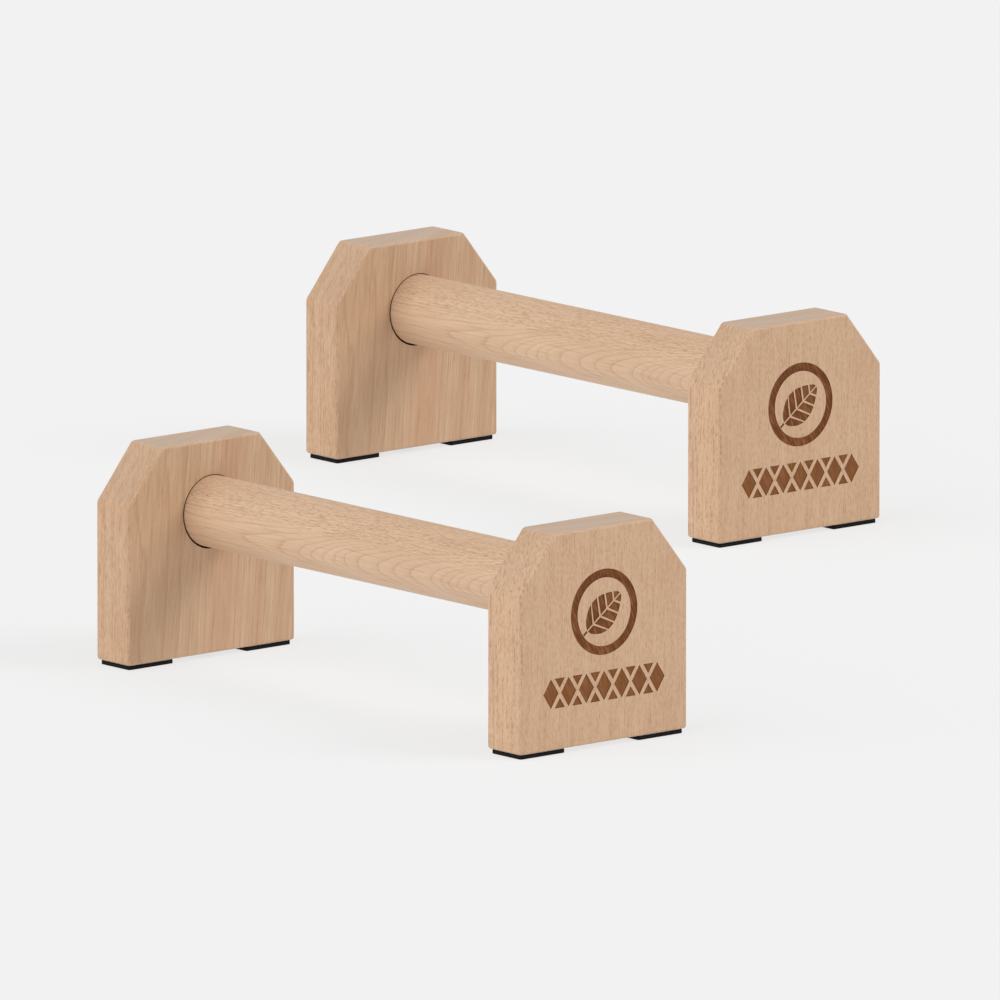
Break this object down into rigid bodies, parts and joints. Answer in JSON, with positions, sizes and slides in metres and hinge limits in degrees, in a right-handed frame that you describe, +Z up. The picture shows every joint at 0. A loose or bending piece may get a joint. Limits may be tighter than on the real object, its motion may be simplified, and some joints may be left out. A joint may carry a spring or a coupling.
{
  "type": "parallel bars",
  "caption": "Low wooden parallel bars for the floor: round grips let into chamfered upright blocks on rubber pads, for push-ups and handstands.",
  "frame": {"origin": "on the floor, below the middle of the pair's bounding box", "axes": "+X along the grips, towards the front blocks, whose outer faces carry the burned mark; +Y from the near bar to the far bar; +Z up"},
  "size_m": [0.75, 0.6, 0.1226],
  "materials": {
    "block_beech": "sanded beech, bare or with a thin matt oil, fine dark flecks along the grain",
    "grip_beech": "finely sanded pale beech, satin, grain along the bar",
    "black_rubber": "matt black rubber sheet",
    "clear_adhesive": "milky double-sided adhesive film",
    "zinc_steel": "bright zinc-plated screw steel"
  },
  "bodies": {
    "near_bar": {"near_grip": "grip_beech", "near_front_block": "block_beech", "near_front_screw": "zinc_steel", "near_front_pad_right": "black_rubber", "near_front_film_right": "clear_adhesive", "near_front_pad_left": "black_rubber", "near_front_film_left": "clear_adhesive", "near_rear_block": "block_beech", "near_rear_screw": "zinc_steel", "near_rear_pad_right": "black_rubber", "near_rear_film_right": "clear_adhesive", "near_rear_pad_left": "black_rubber", "near_rear_film_left": "clear_adhesive"},
    "far_bar": {"far_grip": "grip_beech", "far_front_block": "block_beech", "far_front_screw": "zinc_steel", "far_front_pad_right": "black_rubber", "far_front_film_right": "clear_adhesive", "far_front_pad_left": "black_rubber", "far_front_film_left": "clear_adhesive", "far_rear_block": "block_beech", "far_rear_screw": "zinc_steel", "far_rear_pad_right": "black_rubber", "far_rear_film_right": "clear_adhesive", "far_rear_pad_left": "black_rubber", "far_rear_film_left": "clear_adhesive"}
  },
  "joints": [
    {"name": "far_bar_slide", "type": "slide", "parent": "near_bar", "child": "far_bar", "axis": [1, 0, 0], "range_m": [0, 0.39]}
  ]
}
